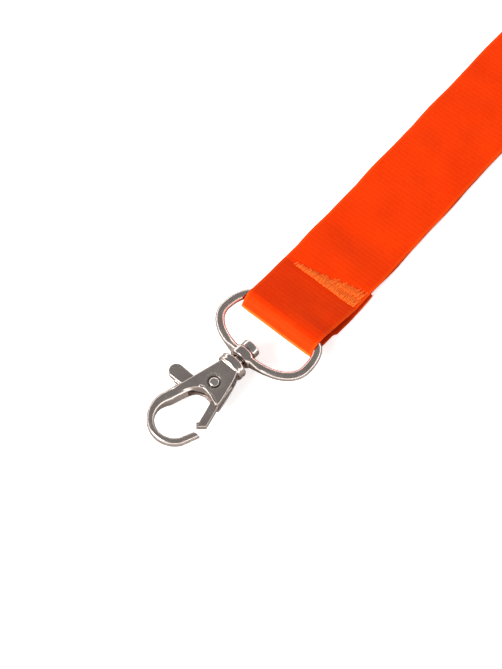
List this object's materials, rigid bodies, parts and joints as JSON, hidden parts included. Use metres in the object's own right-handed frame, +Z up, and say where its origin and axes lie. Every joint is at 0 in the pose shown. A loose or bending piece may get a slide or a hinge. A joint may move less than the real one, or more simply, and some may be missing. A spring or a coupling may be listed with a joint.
{
  "type": "neck lanyard",
  "caption": "Flat woven neck lanyard sewn round a metal ring, with a swivel trigger hook whose sprung gate opens with a thumb tab.",
  "frame": {"origin": "on the plane the lanyard lies on, straight under the middle of the ring's bar, on the underside of the folded ribbon end", "axes": "+X from the hook towards the ribbon, +Y towards the side the gate's thumb tab sticks out on, +Z up, out of the flat faces"},
  "size_m": [0.2448, 0.0334, 0.0066],
  "materials": {
    "nickel_plated_zinc": "bright nickel plate over die cast zinc",
    "nickel_plated_steel": "nickel plated steel pin and rivet",
    "spring_steel": "bare drawn spring wire",
    "orange_ribbon": "woven polyester with fine cross ribs",
    "orange_thread": "glossy polyester sewing thread",
    "band_elastic": "plain knitted elastic"
  },
  "bodies": {
    "ribbon": {"ribbon_front_run": "orange_ribbon", "ribbon_back_run": "orange_ribbon", "ribbon_hank": "orange_ribbon", "hank_band": "band_elastic", "tack_needle_thread": "orange_thread", "tack_bobbin_thread": "orange_thread"},
    "ring": {"swivel_ring": "nickel_plated_zinc"},
    "hook": {"hook_body": "nickel_plated_zinc", "swivel_pin": "nickel_plated_steel", "pivot_rivet": "nickel_plated_steel", "gate_spring": "spring_steel"},
    "gate": {"gate_lever": "nickel_plated_zinc"}
  },
  "joints": [
    {"name": "ring_swing", "type": "hinge", "parent": "ribbon", "child": "ring", "pos_m": [0, 0, 0.00245], "axis": [0, 1, 0], "range_deg": [-150, 150]},
    {"name": "hook_swivel", "type": "hinge", "parent": "ring", "child": "hook", "pos_m": [-0.0132, 0, 0.0033], "axis": [1, 0, 0], "continuous": true},
    {"name": "gate_pivot", "type": "hinge", "parent": "hook", "child": "gate", "pos_m": [-0.0224, -0.00045, 0.0033], "axis": [0, 0, -1], "range_deg": [0, 28], "stiffness_Nm_per_rad": 0.02, "springref_deg": -17.19, "deforming": ["gate_spring"]}
  ]
}
